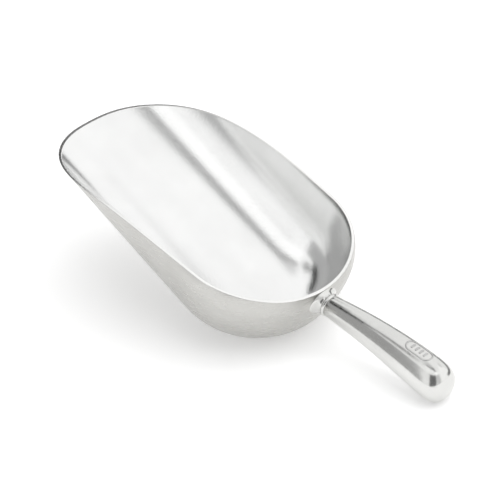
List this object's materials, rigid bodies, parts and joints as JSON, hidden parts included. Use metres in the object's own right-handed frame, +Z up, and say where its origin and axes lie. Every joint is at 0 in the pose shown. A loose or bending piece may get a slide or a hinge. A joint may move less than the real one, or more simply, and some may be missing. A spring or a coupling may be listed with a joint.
{
  "type": "ice scoop",
  "caption": "Cast aluminium ice scoop: round-bellied open bowl with a swept rim and thin lip, short collared neck and a solid teardrop handle with a raised plain mark.",
  "frame": {"origin": "on the table, under the middle of the box that bounds the scoop as it lies at rest", "axes": "+Z up from the table; +X along the scoop from the lip towards the end of the handle; the scoop is mirror-symmetric about Y = 0"},
  "size_m": [0.2644, 0.1046, 0.0733],
  "materials": {
    "bowl": "satin, finely brushed cast aluminium",
    "handle": "polished cast aluminium"
  },
  "bodies": {
    "root": {"bowl_shell": "bowl", "neck_boss": "bowl", "neck_collar": "handle", "handle": "handle", "mark_ring": "handle", "mark_bars": "handle"}
  },
  "joints": []
}
